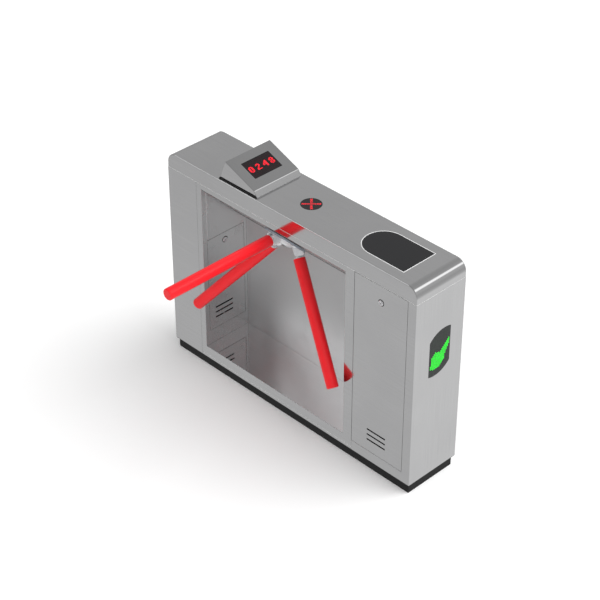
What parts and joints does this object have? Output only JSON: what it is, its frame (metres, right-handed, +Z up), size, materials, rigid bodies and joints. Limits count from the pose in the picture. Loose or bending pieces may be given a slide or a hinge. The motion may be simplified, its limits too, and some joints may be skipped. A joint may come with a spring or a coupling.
{
  "type": "visitor counter turnstile",
  "caption": "Tripod turnstile: steel cabinet with an open recess, a tilted hub with three red arms, a raised count display, round and arrow indicators, a card window and lockable service doors.",
  "frame": {"origin": "centre of the cabinet's footprint, on the floor, on the base plate's underside", "axes": "+X along the cabinet towards the end with the card window and the arrow indicator, -Y towards the side that the arms block, +Z up"},
  "size_m": [1.4003, 0.816, 1.0895],
  "materials": {
    "cabinet_steel": "satin brushed stainless sheet",
    "polished_steel": "bright stainless sheet",
    "plinth_black": "satin black paint",
    "arm_red": "gloss red powder coat",
    "hub_silver": "bright cast metal",
    "hub_grey": "dark grey satin coat",
    "cast_alloy": "as cast",
    "machined_steel": "turned and milled",
    "zinc_plate": "zinc plated",
    "smoked_panel": "smoked gloss",
    "board_green": "solder mask",
    "black_plastic": "moulded",
    "gasket_rubber": "matt",
    "spring_steel": "drawn wire",
    "lock_chrome": "bright plated"
  },
  "bodies": {
    "cabinet": {"base_plate": "zinc_plate", "plinth_skirt": "plinth_black", "cable_gland": "black_plastic", "left_leg_shell": "cabinet_steel", "right_leg_shell": "cabinet_steel", "back_panel": "cabinet_steel", "recess_frame": "cabinet_steel", "recess_floor": "polished_steel", "recess_back_wall": "polished_steel", "recess_left_wall": "polished_steel", "recess_right_wall": "polished_steel", "hub_plate": "polished_steel", "top_cover": "cabinet_steel", "display_housing": "cabinet_steel", "display_gasket": "gasket_rubber", "display_window": "smoked_panel", "display_board": "board_green", "indicator_window": "smoked_panel", "indicator_board": "board_green", "card_window": "smoked_panel", "card_reader_module": "black_plastic", "arrow_window": "smoked_panel", "arrow_board": "board_green", "power_supply": "zinc_plate", "control_board": "board_green", "mechanism_chassis": "cast_alloy", "front_bearing": "machined_steel", "rear_bearing_bridge": "cast_alloy", "rear_bearing": "machined_steel", "rotary_damper": "black_plastic", "optical_sensor": "black_plastic", "cam_follower_lever": "machined_steel", "cam_follower_roller": "machined_steel", "centring_spring": "spring_steel", "solenoid_left": "zinc_plate", "solenoid_right": "zinc_plate"},
    "front_door": {"front_service_door": "cabinet_steel", "front_lock_body": "lock_chrome"},
    "front_lock": {"front_lock_plug": "lock_chrome"},
    "inner_door": {"inner_service_door": "polished_steel", "inner_lock_body": "lock_chrome"},
    "inner_lock": {"inner_lock_plug": "lock_chrome"},
    "rotor": {"hub_disc": "hub_grey", "main_shaft": "machined_steel", "index_cam": "machined_steel", "ratchet_wheel": "machined_steel", "main_gear": "machined_steel", "encoder_disc": "black_plastic", "hub_casting": "hub_silver", "arm_2_knuckle": "hub_silver", "arm_2_tube": "arm_red", "arm_3_knuckle": "hub_silver", "arm_3_tube": "arm_red"},
    "drop_arm": {"arm_1_knuckle": "hub_silver", "arm_1_tube": "arm_red"},
    "damper_gear": {"damper_pinion": "machined_steel"},
    "pawl_right": {"lock_pawl_right": "machined_steel"},
    "pawl_left": {"lock_pawl_left": "machined_steel"},
    "plunger_right": {"plunger_right": "machined_steel"},
    "plunger_left": {"plunger_left": "machined_steel"}
  },
  "joints": [
    {"name": "tripod_spin", "type": "hinge", "parent": "cabinet", "child": "rotor", "pos_m": [-0.088, -0.018, 0.849], "axis": [0, -0.7071, -0.7071], "continuous": true},
    {"name": "damper_gear_spin", "type": "hinge", "parent": "cabinet", "child": "damper_gear", "pos_m": [-0.0238, -0.018, 0.849], "axis": [0, -0.7071, -0.7071], "continuous": true},
    {"name": "arm_drop", "type": "hinge", "parent": "rotor", "child": "drop_arm", "pos_m": [-0.088, -0.12, 0.849], "axis": [1, 0, 0], "range_deg": [0, 90]},
    {"name": "front_door_tilt", "type": "hinge", "parent": "cabinet", "child": "front_door", "pos_m": [0.518, -0.1375, 0.098], "axis": [1, 0, 0], "range_deg": [0, 15]},
    {"name": "front_lock_turn", "type": "hinge", "parent": "front_door", "child": "front_lock", "pos_m": [0.52075, -0.1375, 0.852], "axis": [0, -1, 0], "range_deg": [0, 90]},
    {"name": "inner_door_tilt", "type": "hinge", "parent": "cabinet", "child": "inner_door", "pos_m": [-0.497, -0.00925, 0.176], "axis": [0, 1, 0], "range_deg": [0, 15]},
    {"name": "inner_lock_turn", "type": "hinge", "parent": "inner_door", "child": "inner_lock", "pos_m": [-0.497, -0.01375, 0.604], "axis": [1, 0, 0], "range_deg": [0, 90]},
    {"name": "pawl_right_swing", "type": "hinge", "parent": "cabinet", "child": "pawl_right", "pos_m": [-0.036, 0.02443, 0.82779], "axis": [0, -0.7071, -0.7071], "range_deg": [0, 8], "stiffness_Nm_per_rad": 0.5},
    {"name": "pawl_left_swing", "type": "hinge", "parent": "cabinet", "child": "pawl_left", "pos_m": [-0.14, 0.02443, 0.82779], "axis": [0, 0.7071, 0.7071], "range_deg": [0, 8], "stiffness_Nm_per_rad": 0.5},
    {"name": "plunger_right_slide", "type": "slide", "parent": "cabinet", "child": "plunger_right", "axis": [-1, 0, 0], "range_m": [0, 0.0102]},
    {"name": "plunger_left_slide", "type": "slide", "parent": "cabinet", "child": "plunger_left", "axis": [1, 0, 0], "range_m": [0, 0.0102]}
  ],
  "couplings": [
    {"joint": "damper_gear_spin", "follows": "tripod_spin", "ratio": -3},
    {"joint": "plunger_right_slide", "follows": "pawl_right_swing", "m_per_rad": 0.0715},
    {"joint": "plunger_left_slide", "follows": "pawl_left_swing", "m_per_rad": 0.0715}
  ]
}
